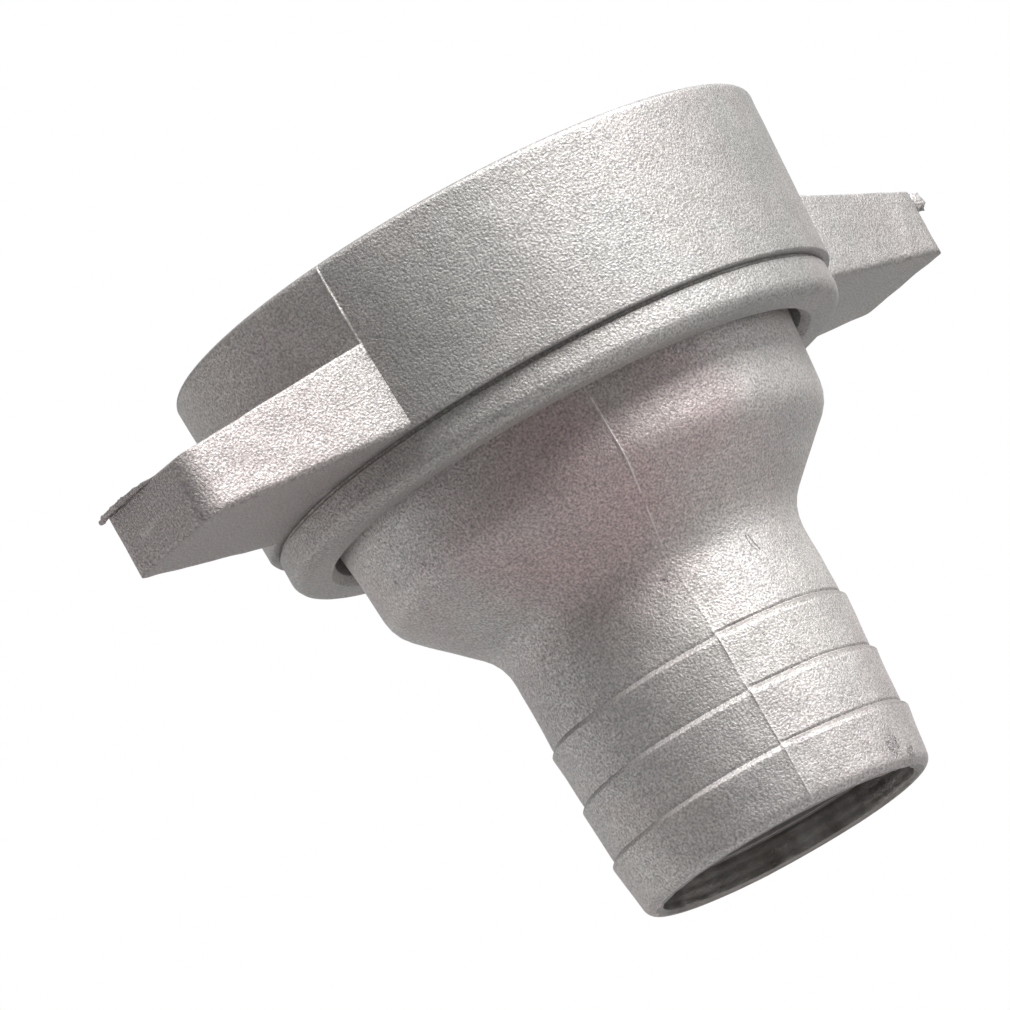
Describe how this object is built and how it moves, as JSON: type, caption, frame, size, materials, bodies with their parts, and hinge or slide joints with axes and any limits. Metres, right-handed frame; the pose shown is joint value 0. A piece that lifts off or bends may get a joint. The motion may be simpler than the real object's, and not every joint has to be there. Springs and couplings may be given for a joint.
{
  "type": "pump hose connector",
  "caption": "Cast wing nut with an internal pipe thread, turning on a reducing barbed hose tail, with a flat gasket between.",
  "frame": {"origin": "centre of the nut's open rim, on the axis of its pipe thread", "axes": "+Z along the axis towards the pump, with the hose mouth pointing down; +X along one lug"},
  "size_m": [0.158, 0.0998, 0.1039],
  "materials": {
    "nut_casting": "shot-blasted casting, coarse matt grain",
    "tail_casting": "shot-blasted casting, coarse matt grain",
    "gasket_rubber": "matt black moulded rubber"
  },
  "bodies": {
    "nut": {"coupling_nut": "nut_casting"},
    "seal": {"gasket": "gasket_rubber"},
    "tail": {"hose_tail": "tail_casting"}
  },
  "joints": [
    {"name": "tail_slide", "type": "slide", "parent": "nut", "child": "seal", "axis": [0, 0, 1], "range_m": [0, 0.034]},
    {"name": "tail_swivel", "type": "hinge", "parent": "seal", "child": "tail", "pos_m": [0, 0, -0.0264], "axis": [0, 0, 1], "continuous": true}
  ]
}
